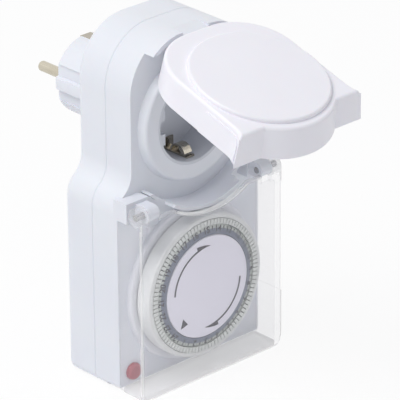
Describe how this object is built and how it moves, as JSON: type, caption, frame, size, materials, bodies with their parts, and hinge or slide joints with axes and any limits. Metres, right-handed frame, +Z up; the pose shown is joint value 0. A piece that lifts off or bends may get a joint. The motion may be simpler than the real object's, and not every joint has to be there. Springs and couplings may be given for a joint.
{
  "type": "plug-in timer switch",
  "caption": "Plug-in mains timer with a rear plug, a socket under a hinged lid and a round day dial of push-in segments behind a clear hinged cover.",
  "frame": {"origin": "centre of the plug's mating face, between its two pins", "axes": "+Y out of the plug into the wall socket, +Z up, -Y towards the front, +X to the right seen from the front"},
  "size_m": [0.0844, 0.1629, 0.1624],
  "materials": {
    "shell_white": "fine matt moulded plastic",
    "plug_white": "moulded plastic",
    "well_white": "moulded plastic",
    "bezel_white": "moulded plastic",
    "nickel": "nickel plated brass",
    "earth_metal": "plated strip",
    "copper_alloy": "plain stamped strip",
    "seal_rubber": "soft rubber",
    "pin_steel": "drawn pin",
    "clear_plastic": "clear moulded plastic",
    "plate_plastic": "moulded plastic",
    "label_white": "satin",
    "dial_grey": "matt, printed hours",
    "rim_grey": "matt",
    "tappet_white": "matt",
    "gear_nylon": "unfilled nylon",
    "motor_can": "plated steel can",
    "lever_plastic": "moulded plastic",
    "lens_red": "translucent tinted",
    "lamp_glass": "small glow lamp",
    "screw_steel": "zinc plated"
  },
  "bodies": {
    "housing": {"rear_shell": "shell_white", "front_shell": "shell_white", "plug_insert": "plug_white", "plug_pins": "nickel", "plug_earth_contacts": "earth_metal", "socket_insert": "well_white", "socket_earth_clips": "earth_metal", "earth_strap": "copper_alloy", "socket_contacts": "copper_alloy", "neutral_bar": "copper_alloy", "live_bar": "copper_alloy", "switched_bar": "copper_alloy", "lid_hinge_pin": "pin_steel", "cover_hinge_pins": "pin_steel", "timer_bezel": "bezel_white", "module_plate": "plate_plastic", "centre_post": "plate_plastic", "label_disc": "label_white", "idler_shaft": "pin_steel", "motor": "motor_can", "lever_bracket": "plate_plastic", "lever_shaft": "pin_steel", "moving_contact": "copper_alloy", "fixed_contact": "copper_alloy", "indicator_lens": "lens_red", "neon_lamp": "lamp_glass", "housing_screws": "screw_steel", "module_screws": "screw_steel"},
    "lid": {"lid": "shell_white", "lid_seal": "seal_rubber"},
    "cover": {"timer_cover": "clear_plastic"},
    "dial": {"dial": "dial_grey", "dial_gear": "gear_nylon", "dial_rim": "rim_grey", "tappet_guide": "dial_grey"},
    "tappets": {"tappets": "tappet_white"},
    "set_tappets": {"set_tappets": "tappet_white"},
    "idler": {"idler_gear": "gear_nylon"},
    "motor_shaft": {"motor_pinion": "gear_nylon"},
    "lever": {"switch_lever": "lever_plastic"}
  },
  "joints": [
    {"name": "lid_hinge", "type": "hinge", "parent": "housing", "child": "lid", "pos_m": [0, -0.0775, 0.0364], "axis": [1, 0, 0], "range_deg": [0, 73]},
    {"name": "cover_hinge", "type": "hinge", "parent": "housing", "child": "cover", "pos_m": [0, -0.078, -0.0322], "axis": [-1, 0, 0], "range_deg": [0, 85]},
    {"name": "dial_turn", "type": "hinge", "parent": "housing", "child": "dial", "pos_m": [0, -0.07, -0.0783], "axis": [0, 1, 0], "continuous": true},
    {"name": "tappet_push", "type": "slide", "parent": "dial", "child": "tappets", "axis": [0, 1, 0], "range_m": [0, 0.0018]},
    {"name": "set_tappet_push", "type": "slide", "parent": "dial", "child": "set_tappets", "axis": [0, 1, 0], "range_m": [0, 0.0018]},
    {"name": "idler_spin", "type": "hinge", "parent": "housing", "child": "idler", "pos_m": [0.02, -0.06, -0.0783], "axis": [0, 1, 0], "continuous": true},
    {"name": "motor_spin", "type": "hinge", "parent": "housing", "child": "motor_shaft", "pos_m": [0.0123, -0.055, -0.08852], "axis": [0, 1, 0], "continuous": true},
    {"name": "lever_tilt", "type": "hinge", "parent": "housing", "child": "lever", "pos_m": [-0.02001, -0.0618, -0.0454], "axis": [1, 0, 0], "range_deg": [0, 4], "stiffness_Nm_per_rad": 0.002, "springref_deg": -11.46}
  ],
  "couplings": [
    {"joint": "idler_spin", "follows": "dial_turn", "ratio": -3},
    {"joint": "motor_spin", "follows": "dial_turn", "ratio": 9}
  ]
}
